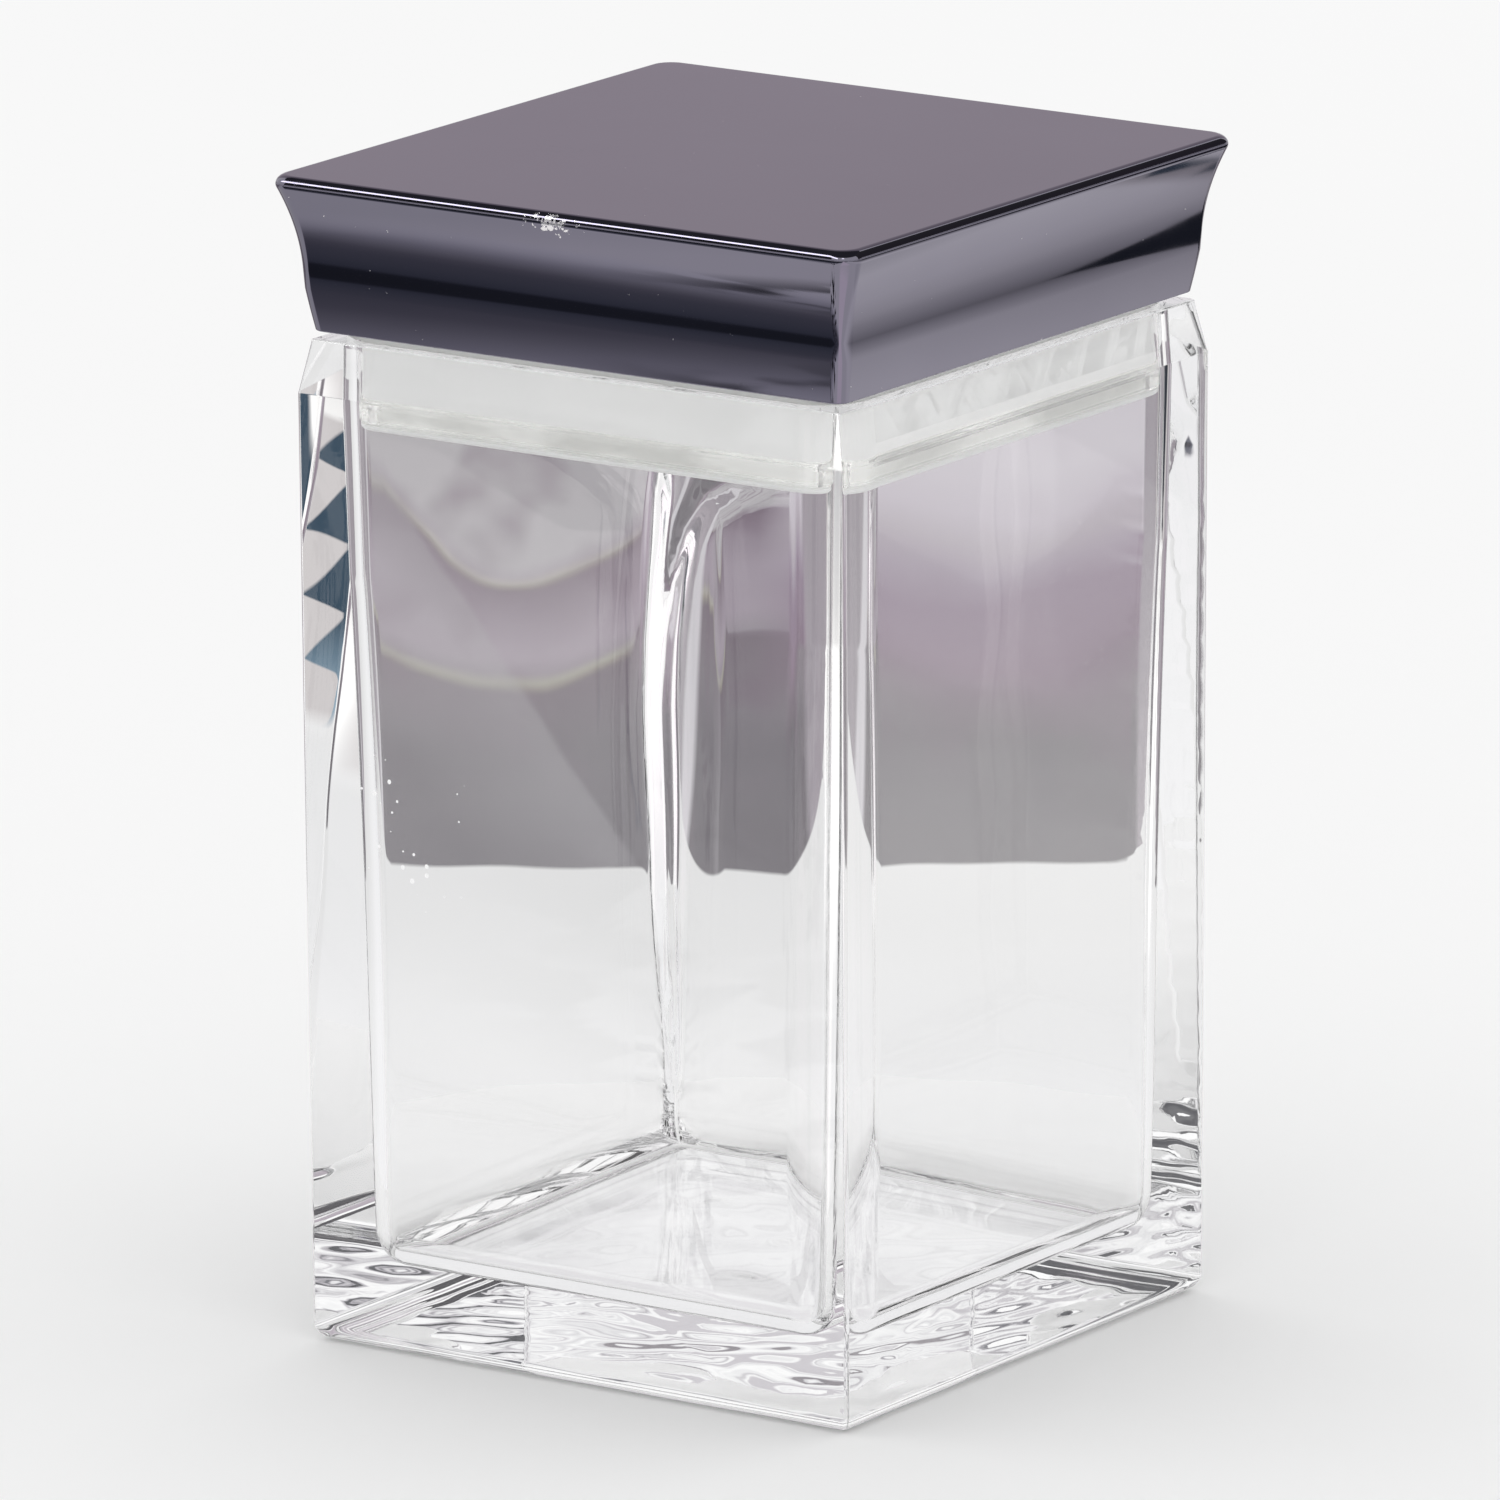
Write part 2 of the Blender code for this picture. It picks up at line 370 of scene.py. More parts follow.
def jar_section():
    """The jar's section: from the middle of its underside, round the outside and the rim, to its floor's middle."""
    found = disc(BASE_HALF - FOOT_RADIUS, 0.0, -1.0, False)
    found += arc(BASE_HALF - FOOT_RADIUS, FOOT_RADIUS, FOOT_RADIUS, -90, 0, EDGE_STEPS)
    found += line((BASE_HALF, FOOT_RADIUS), (BODY_HALF, SHOULDER_Z))[1:]
    rim = (RIM_HALF - 0.05 * MM, RIM_Z - RIM_EDGE)
    tilt = math.degrees(math.atan2(BODY_HALF - rim[0], rim[1] - SHOULDER_Z))
    found += line((BODY_HALF - 0.02 * MM, SHOULDER_Z + 0.1 * MM), rim, 1.5 * MM)
    found += arc(RIM_HALF - RIM_EDGE, RIM_Z - RIM_EDGE, RIM_EDGE, tilt, 90, EDGE_STEPS)
    found += arc(MOUTH_HALF + RIM_EDGE, RIM_Z - RIM_EDGE, RIM_EDGE, 90, 180, EDGE_STEPS)
    fillet_z = FLOOR_Z + FLOOR_FILLET
    wall_foot = cavity_half(fillet_z)
    found += line((MOUTH_HALF, RIM_Z - RIM_EDGE), (wall_foot, fillet_z))[1:]
    found += arc(wall_foot - FLOOR_FILLET, fillet_z, FLOOR_FILLET, 0, -90, EDGE_STEPS, inward=True)
    return found + disc(wall_foot - FLOOR_FILLET, FLOOR_Z, 1.0, True)


def jar_corner(half, z):
    """The outside's corner is nearly sharp; the hollow's is rounder towards the mouth."""
    if z < FLOOR_Z or half > MOUTH_HALF + RIM_EDGE:
        return BODY_CORNER
    if z > RIM_Z - RIM_EDGE:
        return CAVITY_CORNER + half - MOUTH_HALF
    if z < FLOOR_Z + FLOOR_FILLET:
        inset = cavity_half(FLOOR_Z + FLOOR_FILLET) - half
        return cavity_corner(FLOOR_Z + FLOOR_FILLET) - inset
    return cavity_corner(z)


def waves(points, seeds, size):
    """A smooth field of waves of the given (height, length): a few slow sines that cross each other."""
    height, length = size
    field = np.zeros(len(points))
    for seed in seeds:
        turn = np.array([math.sin(seed * 1.7), math.cos(seed * 2.3), math.sin(seed * 3.1 + 1.0)])
        turn /= np.linalg.norm(turn)
        field += np.sin(points @ turn * (2 * math.pi / (length * (0.7 + 0.15 * (seed % 5)))) + seed * 2.4)
    return height * field / len(seeds)


def saw(height, length):
    """A wave along a height, steeper on one side."""
    turn = 2 * math.pi * height / length
    return np.sin(turn) + 0.35 * np.sin(2 * turn + 1.0)


def jar_ripple(points, normals):
    """Moulding marks: a nearly true outside, a hollow that wanders, chatter by one corner and a wavy foot."""
    x, y, z = points.T
    reach = np.abs(points[:, :2]).max(axis=1)
    inside = (reach < MOUTH_HALF + RIM_EDGE) & (z > FLOOR_Z - 1 * MM)
    inside = inside * fade(z, 140 * MM, 134 * MM)
    outside = (reach > BASE_HALF - 2 * FOOT_RADIUS) * fade(z, 133 * MM, 129 * MM)
    move = waves(points, range(1, 5), OUTSIDE_WAVE)
    move = move + inside * waves(points, range(5, 10), HOLLOW_WAVE)
    low = fade(z, 34 * MM, 15 * MM) * fade(z, FLOOR_Z, FLOOR_Z + 1 * MM)
    move = move + inside * low * waves(points, range(11, 16), FLOOR_WAVE)
    by_right = (y > BASE_HALF - 1 * MM) * fade(x, 26 * MM, 36 * MM) * fade(x, 44.5 * MM, 42 * MM)
    by_right = by_right * fade(z, 118 * MM, 110 * MM)
    move = move + outside * by_right * CHATTER[0] * saw(z - 0.1 * x, CHATTER[1])
    in_front = fade(np.maximum(x, -y), BASE_HALF - 4 * MM, BASE_HALF - 1 * MM)
    foot = fade(z, FOOT_TOP_Z, 3 * MM) * outside * in_front
    move = move + foot * waves(points * FOOT_STRETCH, range(21, 27), FOOT_WAVE)
    move = move + inside * (x < 0) * (y > 0) * flow_mark(x + y, z)
    under = fade(-normals[:, 2], 0.3, 0.95) * (z < FLOOR_Z / 2)
    swell = waves(points, range(31, 36), UNDERSIDE_WAVE) - UNDERSIDE_WAVE[0]
    return move * (1 - under) + under * swell


def flow_mark(along, height):
    """A soft ridge along FLOW_MARK, fainter towards its top end, by distance round the back corner and height."""
    place = np.column_stack([along, height])
    nearest = np.full(len(place), 1.0)
    for start, end in zip(FLOW_MARK, FLOW_MARK[1:]):
        way = end - start
        share = np.clip(((place - start) @ way) / (way @ way), 0.0, 1.0)
        nearest = np.minimum(nearest, np.linalg.norm(place - start - share[:, None] * way, axis=1))
    width = FLOW_MARK_WIDTH * (0.35 + 0.65 * fade(height, 15 * MM, 75 * MM))
    strength = fade(height, 14 * MM, 45 * MM) * fade(along, 25 * MM, 19 * MM)
    strength = strength * (0.25 + 0.75 * fade(along, 18 * MM, 6 * MM))
    return FLOW_MARK_HEIGHT * strength * np.exp(-((nearest / width) ** 2))


def cover_corner(half, z):
    """The lid's corner radius, larger where the lid is wider."""
    return LID_CORNER + (half - WAIST_HALF) * CORNER_SPREAD


def skirt():
    """The skirt, which bulges a hair, from just over its foot to just under the waist."""
    start = np.array([COVER_FOOT_HALF, COVER_FOOT_Z + COVER_FOOT_EDGE])
    end = np.array([WAIST_HALF - 0.12 * MM, WAIST_Z - 0.7 * MM])
    span = np.linalg.norm(end - start)
    out, up = (end - start)[1] / span, -(end - start)[0] / span
    found = []
    for share in np.linspace(0.0, 1.0, SKIRT_STEPS + 1):
        turn = math.atan2(up, out) + SKIRT_TURN * (share - 0.5)
        bulge = SKIRT_TURN * span * share * (1 - share) / 2
        half, z = start + (end - start) * share + np.array([out, up]) * bulge
        found.append((half, z, math.cos(turn), math.sin(turn)))
    return found


def cover_section():
    """The cover's section: from the roof's middle inside, down the wall, round the foot, up to the top's middle."""
    bead_half, bead_z = TOP_HALF - BEAD_RADIUS, TOP_Z - BEAD_RADIUS
    bead = arc(bead_half, bead_z, BEAD_RADIUS, UNDERCUT, 90, EDGE_STEPS * 2)
    flare_half, flare_z = bead[0][0], bead[0][1]
    height, spread = flare_z - WAIST_Z, flare_half - WAIST_HALF
    flare = []
    for share in np.linspace(0.0, 1.0, FLARE_STEPS + 1)[WAIST_SKIP:]:
        slope = 2 * spread * share / height
        size = math.hypot(1.0, slope)
        flare.append((WAIST_HALF + spread * share ** 2, WAIST_Z + height * share, 1.0 / size, -slope / size))
    inside_half, roof_z = COVER_FOOT_HALF - COVER_WALL, TOP_Z - COVER_ROOF
    found = [(h, z, n, -1.0) for h, z, n, _ in disc(inside_half, roof_z, -1.0, False)]
    found += line((inside_half, roof_z), (inside_half, COVER_FOOT_Z + 0.2 * MM))
    edge_half = COVER_FOOT_HALF - COVER_FOOT_EDGE
    found += [(half, COVER_FOOT_Z, 0.0, -1.0) for half in (inside_half + 0.2 * MM, edge_half)]
    found += arc(edge_half, COVER_FOOT_Z + COVER_FOOT_EDGE, COVER_FOOT_EDGE, -90, -8, EDGE_STEPS // 2)
    found += skirt() + flare + bead[1:]
    return found + disc(bead_half, TOP_Z, 1.0, True)


# ---------------------------------------------------------------- materials


class Nodes:
    """A small helper that adds nodes to a material and links them."""

    def __init__(self, name):
        self.material = bpy.data.materials.new(name)
        self.material.use_nodes = True
        self.tree = self.material.node_tree
        self.shader = self.tree.nodes["Principled BSDF"]

    def add(self, kind, inputs=(), **settings):
        node = self.tree.nodes.new(kind)
        for key, value in settings.items():
            setattr(node, key, value)
        for key, value in dict(inputs).items():
            self.put(node.inputs[key], value)
        return node

    def put(self, socket, value):
        if isinstance(value, bpy.types.NodeSocket):
            self.tree.links.new(value, socket)
        elif isinstance(value, tuple) and len(value) == 3 and socket.type == "RGBA":
            socket.default_value = (*value, 1.0)
        else:
            socket.default_value = value

    def set(self, **inputs):
        for key, value in inputs.items():
            self.put(self.shader.inputs[key.replace("_", " ")], value)

    def place(self):
        return self.add("ShaderNodeTexCoord").outputs["Object"]

    def noise(self, scale, detail=3.0, roughness=0.5, stretch=(1.0, 1.0, 1.0), vector=None):
        spread = self.add("ShaderNodeMapping", {"Vector": vector or self.place(), "Scale": stretch})
        return self.add(
            "ShaderNodeTexNoise",
            {"Vector": spread.outputs[0], "Scale": scale, "Detail": detail, "Roughness": roughness},
        ).outputs[0]

    def ramp(self, value, low, high, to_low=0.0, to_high=1.0):
        return self.add(
            "ShaderNodeMapRange",
            {"Value": value, "From Min": low, "From Max": high, "To Min": to_low, "To Max": to_high},
        ).outputs[0]

    def math(self, operation, first, second=0.0):
        return self.add("ShaderNodeMath", {0: first, 1: second}, operation=operation).outputs[0]

    def distance(self, value, centre):
        return self.math("ABSOLUTE", self.math("SUBTRACT", value, centre))

    def mix(self, share, first, second):
        node = self.add("ShaderNodeMix", data_type="RGBA")
        self.put(node.inputs["Factor"], share)
        self.put(node.inputs[6], first)
        self.put(node.inputs[7], second)
        return node.outputs[2]

    def bump(self, height, distance, strength=1.0):
        return self.add("ShaderNodeBump", {"Height": height, "Distance": distance, "Strength": strength}).outputs[0]


def clear_acrylic():
    """Clear plastic, faintly smudged in places, with white specks of dust on one part of the front wall."""
    made = Nodes("clear_acrylic_look")
    made.set(Base_Color=WHITE, IOR=1.49, Roughness=made.ramp(made.noise(30.0, 3.0, 0.6), 0.68, 0.85, 0.0, 0.008))
    x, y, z = made.add("ShaderNodeSeparateXYZ", {"Vector": made.place()}).outputs
    dusty = made.math("LESS_THAN", y, -44 * MM)
    for place, (start, full, end, gone) in ((x, DUST_X), (z, DUST_Z)):
        dusty = made.math("MULTIPLY", dusty, made.ramp(place, start, full))
        dusty = made.math("MULTIPLY", dusty, made.ramp(place, gone, end))
    cells = made.add("ShaderNodeTexVoronoi", {"Vector": made.place(), "Scale": 700.0, "Randomness": 1.0})
    patch = made.ramp(made.noise(120.0, 2.0), 0.42, 0.60, 0.0, 0.36)
    speck = made.math("LESS_THAN", cells.outputs["Distance"], made.math("MULTIPLY", patch, dusty))
    made.set(Transmission_Weight=made.math("SUBTRACT", 1.0, speck))
    return made.material


def black_chrome():
    """Dark plating: faint clouding, hairline scratches, and a chipped spot on the front edge."""
    made = Nodes("black_chrome_look")
    cloud = made.noise(22.0, 3.0)
    tone = made.mix(made.ramp(cloud, 0.3, 0.7), CHROME_DARK, CHROME_PALE)
    axes = made.add("ShaderNodeSeparateXYZ", {"Vector": made.place()})
    x, y, z = axes.outputs
    near_spot = made.ramp(made.distance(x, CHIP_X), 7 * MM, 1 * MM)
    near_edge = made.ramp(made.distance(z, CHIP_Z), 2.0 * MM, 0.6 * MM)
    in_front = made.math("LESS_THAN", y, -TOP_HALF + 3 * MM)
    spot = made.math("MULTIPLY", made.math("MULTIPLY", near_spot, near_edge), in_front)
    grit = made.noise(900.0, 4.0, 0.65)
    worn = made.math("GREATER_THAN", made.math("ADD", grit, made.math("MULTIPLY", spot, 0.27)), 0.74)
    hair = made.noise(260.0, 2.0, 0.5, (0.12, 0.12, 1.0))
    scratch = made.ramp(made.distance(hair, 0.5), 0.004, 0.0)
    scratch = made.math("MULTIPLY", scratch, made.ramp(made.noise(35.0, 2.0), 0.58, 0.68))
    made.set(Metallic=1.0, Base_Color=made.mix(worn, tone, BARE_METAL))
    rough = made.ramp(made.noise(60.0, 4.0), 0.35, 0.75, 0.035, 0.075)
    rough = made.math("ADD", rough, made.math("MULTIPLY", scratch, 0.16))
    made.set(Roughness=made.math("ADD", rough, made.math("MULTIPLY", worn, 0.25)))
    relief = made.math("SUBTRACT", made.noise(30.0, 2.0), made.math("MULTIPLY", worn, 0.6))
    made.set(Normal=made.bump(relief, 0.02 * MM, 0.5))
    return made.material


def painted_glow_through_jar(made, strength):
    """A strength for a painted glow: it counts only where the piece is seen through the jar, standing in for light
    its wall gathers.
    """
    depth = made.add("ShaderNodeLightPath").outputs["Transmission Depth"]
    return made.ramp(depth, 0.4, 0.6, 0.0, strength)


def frosted_polyethylene():
    """The plug's pale, slightly mottled plastic, with a painted glow where it is seen through the jar."""
    made = Nodes("frosted_polyethylene_look")
    mottle = made.ramp(made.noise(90.0, 4.0), 0.3, 0.7)
    made.set(Base_Color=made.mix(mottle, (0.87, 0.875, 0.86), (0.90, 0.905, 0.89)))
    made.set(Roughness=made.ramp(made.noise(500.0, 3.0), 0.3, 0.7, 0.32, 0.5))
    # Painted glow: emission that brightens the plug where it is seen through the jar, standing in for light it does
    # not get.
    made.set(Emission_Color=(0.99, 0.99, 1.0), Emission_Strength=painted_glow_through_jar(made, 0.20))
    made.set(Normal=made.bump(made.noise(700.0, 3.0), 0.02 * MM, 0.4))
    return made.material


def clear_silicone():
    """The seal's soft clear rubber, with wetter and drier stretches along it, and a faint painted glow where it is
    seen through the jar.
    """
    made = Nodes("clear_silicone_look")
    wet = made.ramp(made.noise(120.0, 3.0, 0.6, (0.35, 0.35, 1.0)), 0.44, 0.56)
    made.set(Base_Color=made.mix(wet, (0.89, 0.89, 0.875), (1.0, 1.0, 0.99)), IOR=1.41)
    made.set(Transmission_Weight=made.ramp(wet, 0.0, 1.0, 0.82, 0.97))
    made.set(Roughness=made.ramp(made.noise(400.0, 3.0), 0.3, 0.7, 0.05, 0.2))
    # Painted glow: faint emission that brightens the seal where it is seen through the jar.
    made.set(Emission_Color=(1.0, 1.0, 0.985), Emission_Strength=painted_glow_through_jar(made, 0.06))
    return made.material


# ---------------------------------------------------------------- stage


def square_mesh(name, half, z):
    """One square face that looks up."""
    mesh = bpy.data.meshes.new(name)
    corners = [(-half, -half, z), (half, -half, z), (half, half, z), (-half, half, z)]
    mesh.from_pydata(corners, [], [(0, 1, 2, 3)])
    return mesh


def table():
    """The table that the camera sees."""
    mesh = square_mesh("table", TABLE_REACH, TABLE_Z)
    mesh.materials.append(floor_finish())
    sheet = bpy.data.objects.new("table", mesh)
    bpy.context.scene.collection.objects.link(sheet)


def glow(name):
    """A material that only gives light, its colour still to be set."""
    made = Nodes(name)
    made.tree.nodes.remove(made.shader)
    made.shader = made.add("ShaderNodeEmission")
    end = next(node for node in made.tree.nodes if node.type == "OUTPUT_MATERIAL")
    made.tree.links.new(made.shader.outputs[0], end.inputs["Surface"])
    return made


def glow_colour(made, shade, stops):
    """A colour for each value of shade, from (value, colour) pairs in order."""
    low, high = stops[0][0], stops[-1][0]
    node = made.add("ShaderNodeValToRGB", {"Fac": made.ramp(shade, low, high)})
    ramp = node.color_ramp
    ramp.elements[0].position, ramp.elements[0].color = 0.0, (*stops[0][1], 1.0)
    ramp.elements[1].position, ramp.elements[1].color = 1.0, (*stops[-1][1], 1.0)
    for value, colour in stops[1:-1]:
        ramp.elements.new((value - low) / (high - low)).color = (*colour, 1.0)
    return node.outputs[0]


def unseen(name, mesh, material):
    """A glowing sheet that only reflections and refractions can see."""
    mesh.materials.append(material)
    sheet = bpy.data.objects.new(name, mesh)
    bpy.context.scene.collection.objects.link(sheet)
    sheet.visible_camera = False
    sheet.visible_diffuse = False
    sheet.visible_shadow = False
    material.cycles.emission_sampling = "NONE"
    return sheet


def ring_mesh(name, ring, filled=False):
    """A ring of quads between two circles, with the first one filled if asked."""
    count, *edges = ring
    points = []
    for radius, z in edges:
        for index in range(count):
            turn = 2 * math.pi * index / count
            points.append((radius * math.cos(turn), radius * math.sin(turn), z))
    faces = [(i, (i + 1) % count, count + (i + 1) % count, count + i) for i in range(count)]
    if filled:
        faces.append(tuple(range(count)))
    mesh = bpy.data.meshes.new(name)
    mesh.from_pydata(points, [], faces)
    return mesh


def lit_evenly(made, colour):
    """The colour, but plain white for light that falls on matt surfaces, which the soft room lights evenly."""
    depth = made.add("ShaderNodeLightPath").outputs["Diffuse Depth"]
    return made.mix(made.math("GREATER_THAN", depth, 0.5), colour, WHITE)


def softened(made, colour):
    """The colour of a lamp, but plain white once its light has come through something clear."""
    depth = made.add("ShaderNodeLightPath").outputs["Transmission Depth"]
    return made.mix(made.math("GREATER_THAN", depth, 0.5), colour, WHITE)


def across_and_away(made):
    """Position seen from the camera: metres to its right and metres away from it, past the jar."""
    turn = (0.0, 0.0, -math.radians(CAMERA_AZIMUTH))
    view = made.add("ShaderNodeMapping", {"Vector": made.place(), "Rotation": turn})
    axes = made.add("ShaderNodeSeparateXYZ", {"Vector": view.outputs[0]})
    return axes.outputs[0], axes.outputs[1]


def behind_glow(made, across, away):
    """The soft mauve ground far behind the jar: curved bands, yellow-green edges on the left."""
    ground = glow_colour(made, away, BEHIND_STOPS)
    spread = made.add("ShaderNodeCombineXYZ", {0: made.math("MULTIPLY", across, 4.0), 1: away}).outputs[0]
    offset = made.math("SUBTRACT", made.math("ABSOLUTE", across), BEND_CENTRE)
    bend = made.math("MINIMUM", made.math("MULTIPLY", offset, offset), BEND_LIMIT)
    drift = made.math("MULTIPLY", made.math("SUBTRACT", made.noise(9.0, 1.0, vector=spread), 0.5), 0.05)
    left_side = made.ramp(across, -0.015, -0.022)
    for low, curve, colour, edge in BEHIND_BANDS:
        height = made.math("SUBTRACT", made.math("SUBTRACT", away, low), made.math("MULTIPLY", bend, curve))
        height = made.math("ADD", height, drift)
        shadow = made.math("MULTIPLY", made.ramp(height, -0.045, -0.004), made.ramp(height, 0.001, -0.001))
        ground = made.mix(made.math("MULTIPLY", shadow, 0.55), ground, BEHIND_SHADOW)
        ground = made.mix(made.ramp(height, -0.004, 0.014), ground, colour)
        thread = made.ramp(made.math("ABSOLUTE", height), 0.006, 0.001, 0.0, edge)
        ground = made.mix(made.math("MULTIPLY", thread, left_side), ground, BEHIND_THREAD)
    blotch = made.ramp(made.noise(14.0, 2.0, vector=spread), 0.50, 0.70, 0.0, 0.6)
    ground = made.mix(made.math("MULTIPLY", blotch, made.ramp(away, 0.27, 0.31)), ground, BEHIND_BLOTCH)
    height = made.math("ADD", made.math("SUBTRACT", away, made.math("MULTIPLY", bend, 20.0)), drift)
    right_side = made.math("MULTIPLY", made.ramp(across, 0.0, 0.012, 0.0, 0.85), made.ramp(away, 0.305, 0.335))
    soft = glow_colour(made, height, BEHIND_RIGHT_STOPS)
    ground = made.mix(right_side, ground, soft)
    slope = made.math("MULTIPLY", across, WEDGE_SLOPE)
    slope = made.math("ADD", slope, made.math("SUBTRACT", away, WEDGE_PLACE))
    wedge = made.math("MULTIPLY", made.ramp(slope, 0.003, -0.004, 0.0, 0.35), made.ramp(slope, -0.13, -0.02))
    ground = made.mix(made.math("MULTIPLY", wedge, left_side), ground, BEHIND_WEDGE)
    for start, end, colour in BEHIND_SIDES:
        ground = made.mix(made.ramp(across, start, end), ground, colour)
    far = made.mix(made.ramp(across, 0.34, 0.38), BETWEEN_FINS, FAR_RIGHT)
    return made.mix(made.ramp(across, 0.27, 0.30), ground, far)


def fins(made, across, away):
    """The row of dark wedges at the table's far right, which the jar's left edge shows as a column.

    It returns where the strip they stand in is, and where the wedges are.
    """
    turn = made.math("FRACT", made.math("DIVIDE", made.math("SUBTRACT", FINS_END, across), FIN_LENGTH))
    width = made.math("MINIMUM", made.ramp(turn, 0.02, 0.62), made.ramp(turn, 0.95, 0.62))
    beside = made.math("SUBTRACT", away, made.math("MULTIPLY", across, FIN_SLANT))
    reach = made.math("ADD", beside, made.math("MULTIPLY", width, FIN_REACH))
    strip = made.ramp(beside, FIN_BACK + 1.5 * MM, FIN_BACK)
    for start, end in ((FINS_START - 4 * MM, FINS_START + 4 * MM), (FINS_END + 4 * MM, FINS_END)):
        strip = made.math("MULTIPLY", strip, made.ramp(across, start, end))
    wedges = made.math("MULTIPLY", strip, made.ramp(reach, FIN_TIP, FIN_TIP + 0.7 * MM))
    return made.math("MULTIPLY", strip, made.ramp(beside, FIN_FRONT, FIN_FRONT + 7 * MM)), wedges


def near_glow(made, across, away):
    """The white table round the jar, shaded off to both sides, with a few dark things on it."""
    slant = made.math("MULTIPLY", made.math("ADD", away, 0.1), -0.8)
    left = glow_colour(made, made.math("SUBTRACT", slant, across), LEFT_STOPS)
    right = glow_colour(made, across, RIGHT_STOPS)
    both = made.add("ShaderNodeMix", data_type="RGBA", blend_type="MULTIPLY")
    for socket, value in (("Factor", 1.0), (6, left), (7, right)):
        made.put(both.inputs[socket], value)
    found = both.outputs[2]
    veil = made.math("MULTIPLY", made.ramp(away, -0.07, -0.04), made.ramp(across, 0.24, 0.19))
    veil_tone = made.mix(made.ramp(away, 0.03, 0.20), VEIL_NEAR, VEIL_FAR)
    found = made.mix(veil, found, veil_tone)
    strip, wedges = fins(made, across, away)
    found = made.mix(strip, found, BETWEEN_FINS)
    blue = made.mix(made.ramp(across, 0.205, 0.25), PALE_BLUE, FAR_BLUE)
    found = made.mix(wedges, found, blue)
    in_front = made.math("MULTIPLY", made.ramp(across, -0.03, -0.01), made.ramp(across, 0.10, 0.08))
    in_front = made.math("MULTIPLY", in_front, made.ramp(away, -0.11, -0.15))
    found = made.mix(in_front, found, FRONT_LIGHT)
    mark = made.math("MULTIPLY", made.ramp(away, -0.09, -0.11), made.ramp(across, -0.08, -0.10))
    mark = made.math("MULTIPLY", mark, made.ramp(made.noise(30.0, 3.0), 0.5, 0.56))
    mark = made.math("MULTIPLY", mark, made.ramp(across, -0.26, -0.22))
    return made.mix(mark, found, FRONT_MARK)


def table_glow():
    """What clear and mirror surfaces see of the room at table height, beyond the jar's own surroundings."""
    made = glow("table_glow")
    across, away = across_and_away(made)
    edge = made.math("SUBTRACT", away, made.ramp(across, 0.30, 0.42, TABLE_EDGE, TABLE_EDGE - 0.033))
    edge = made.ramp(edge, -1 * MM, 1 * MM)
    near, behind = near_glow(made, across, away), behind_glow(made, across, away)
    made.set(Color=lit_evenly(made, made.mix(edge, near, behind)))
    unseen("table_glow", ring_mesh("table_glow", TABLE_RING), made.material)


def under_glow():
    """The bright table under the jar's clear foot."""
    made = glow("under_glow")
    tone = made.noise(30.0, 2.0)
    made.set(Color=made.mix(tone, (0.82, 0.82, 0.83), (0.9, 0.9, 0.91)))
    unseen("under_glow", square_mesh("under_glow", BASE_HALF - 1.5 * MM, TABLE_Z / 2), made.material)


def wall_card(name, azimuth, distance, width, low, high, stops, lamp=False):
    """An upright card round the jar, azimuth in degrees to the right of straight away from the camera."""
    made = glow(name)
    height = made.add("ShaderNodeSeparateXYZ", {"Vector": made.place()}).outputs[2]
    colour = glow_colour(made, height, stops)
    if lamp:
        colour = softened(made, colour)
    made.set(Color=lit_evenly(made, colour))
    turn = math.radians(90 + CAMERA_AZIMUTH - azimuth)
    out = np.array([math.cos(turn), math.sin(turn)])
    along = np.array([-out[1], out[0]])
    points = []
    for side, z in ((-1, low), (1, low), (1, high), (-1, high)):
        points.append((*(out * distance + along * side * width / 2), z))
    mesh = bpy.data.meshes.new(name)
    mesh.from_pydata(points, [], [(0, 1, 2, 3)])
    unseen(name, mesh, made.material)


def haze_ring():
    """Low, blurred things round the table's far edge, which the jar's heavy foot picks up."""
    made = glow("haze_ring")
    bands = made.noise(7.0, 3.0, 0.6, (1.0, 1.0, 9.0))
    made.set(Color=lit_evenly(made, glow_colour(made, bands, HAZE_STOPS)))
    unseen("haze_ring", ring_mesh("haze_ring", HAZE_RING), made.material)


def roof_card():
    """A dim ceiling over the softboxes, so that the lid's rounded edge has a dark line beside the bright one."""
    made = glow("roof_glow")
    made.set(Color=lit_evenly(made, made.mix(made.noise(2.0, 1.0), (0.05, 0.05, 0.06), (0.08, 0.08, 0.09))))
    unseen("roof_card", ring_mesh("roof_card", ROOF_RING, filled=True), made.material)


def floor_finish():
    """The matt white of the table that the camera sees."""
    made = Nodes("table_white")
    tone = made.noise(3.0, 3.0)
    made.set(Base_Color=made.mix(tone, (0.93, 0.93, 0.93), (0.95, 0.95, 0.95)), Roughness=0.7)
    made.put(made.shader.inputs["Specular IOR Level"], 0.0)
    return made.material


def set_world():
    """An even white studio."""
    world = bpy.data.worlds.new("studio")
    world.use_nodes = True
    background = world.node_tree.nodes["Background"]
    background.inputs["Color"].default_value = (*WHITE, 1.0)
    background.inputs["Strength"].default_value = 1.0
    bpy.context.scene.world = world


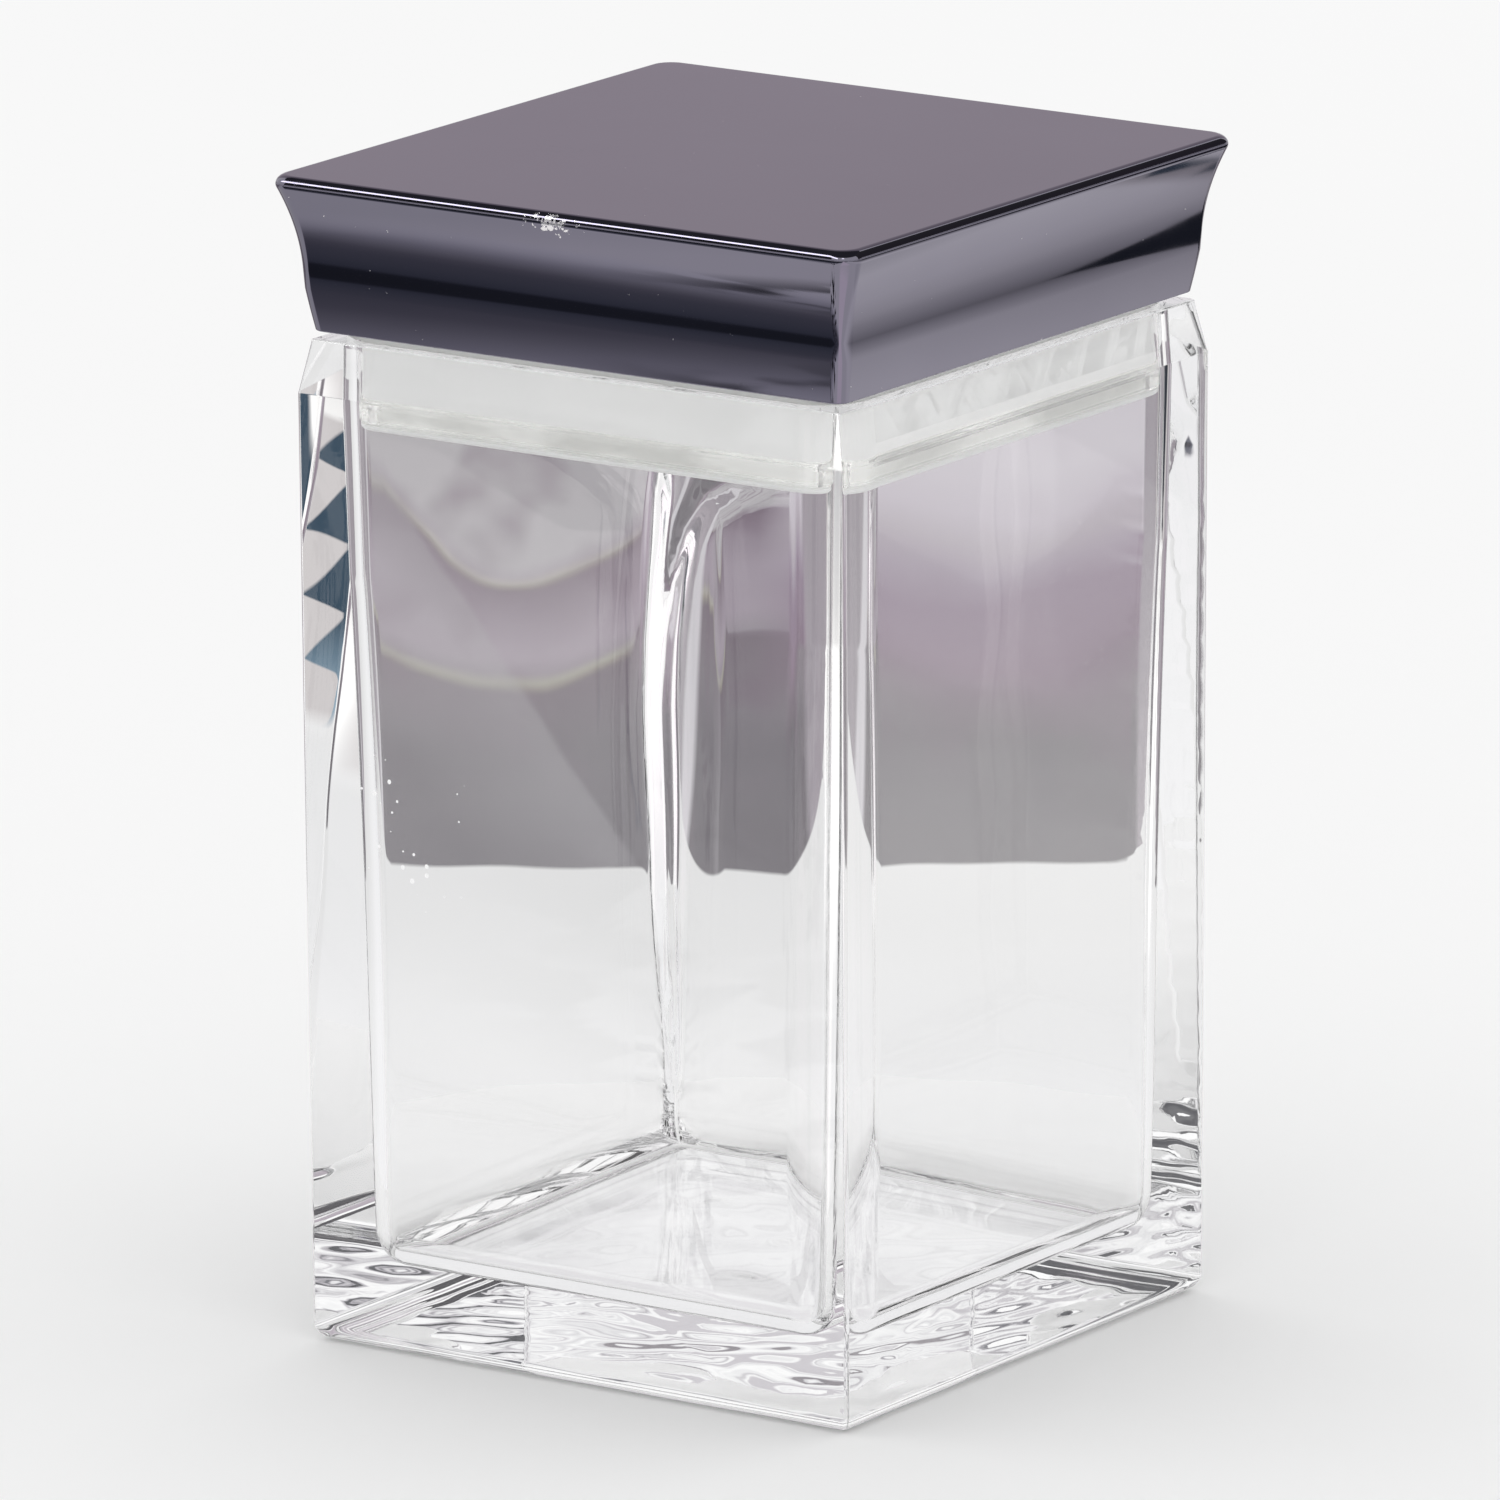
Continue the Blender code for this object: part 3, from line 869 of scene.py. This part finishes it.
def set_camera():
    """The photograph's view: a long lens, turned, tilted and rolled a little about the jar."""
    turn, tilt = math.radians(CAMERA_AZIMUTH), math.radians(CAMERA_ELEVATION)
    roll = math.radians(CAMERA_ROLL)
    back = np.array([math.sin(turn) * math.cos(tilt), -math.cos(turn) * math.cos(tilt), math.sin(tilt)])
    right = np.array([math.cos(turn), math.sin(turn), 0.0])
    up = np.cross(back, right)
    place = back * CAMERA_DISTANCE + right * CAMERA_SHIFT_RIGHT + np.array([0.0, 0.0, CAMERA_AIM_Z])
    axes = np.eye(4)
    axes[:3, 0] = math.cos(roll) * right + math.sin(roll) * up
    axes[:3, 1] = -math.sin(roll) * right + math.cos(roll) * up
    axes[:3, 2], axes[:3, 3] = back, place
    lens = bpy.data.cameras.new("view")
    lens.lens, lens.sensor_width, lens.clip_end = CAMERA_LENS, 36.0, 100.0
    camera = bpy.data.objects.new("view", lens)
    camera.matrix_world = Matrix(axes.tolist())
    bpy.context.scene.collection.objects.link(camera)
    bpy.context.scene.camera = camera


def set_light_paths():
    """Enough bounces for light that runs round inside the thick walls."""
    cycles = bpy.context.scene.cycles
    cycles.max_bounces = 40
    cycles.transmission_bounces = 32
    cycles.glossy_bounces = 24
    cycles.transparent_max_bounces = 12
    cycles.caustics_refractive = True
    cycles.caustics_reflective = True
    cycles.sample_clamp_indirect = 8.0
    bpy.context.scene.view_settings.view_transform = "Standard"


def smooth(node, material):
    """A CAD piece keeps its shape, shaded smooth with its flat faces true."""
    node.data.materials.clear()
    node.data.materials.append(material)
    modifier = node.modifiers.new("true_flats", "WEIGHTED_NORMAL")
    modifier.weight = 100
    modifier.keep_sharp = True


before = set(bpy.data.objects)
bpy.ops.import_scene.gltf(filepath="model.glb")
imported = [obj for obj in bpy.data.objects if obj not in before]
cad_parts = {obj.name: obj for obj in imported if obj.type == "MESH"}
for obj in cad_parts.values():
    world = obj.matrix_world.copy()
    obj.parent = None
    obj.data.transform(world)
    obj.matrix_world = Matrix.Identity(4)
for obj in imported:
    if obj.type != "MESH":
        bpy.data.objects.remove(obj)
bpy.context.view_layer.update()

jar = skin("jar_clear", jar_section(), jar_corner, clear_acrylic(), jar_ripple)
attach(jar, "jar")
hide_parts("jar_body")

cover = skin("lid_mirror", cover_section(), cover_corner, black_chrome())
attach(cover, "lid")
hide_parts("lid_cover")

smooth(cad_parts["lid_plug"], frosted_polyethylene())
smooth(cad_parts["seal_ring"], clear_silicone())

table()
table_glow()
under_glow()
for card in WALL_CARDS:
    wall_card(*card)
for box in SOFTBOXES:
    wall_card(*box, lamp=True)
haze_ring()
roof_card()
set_world()
set_camera()
set_light_paths()
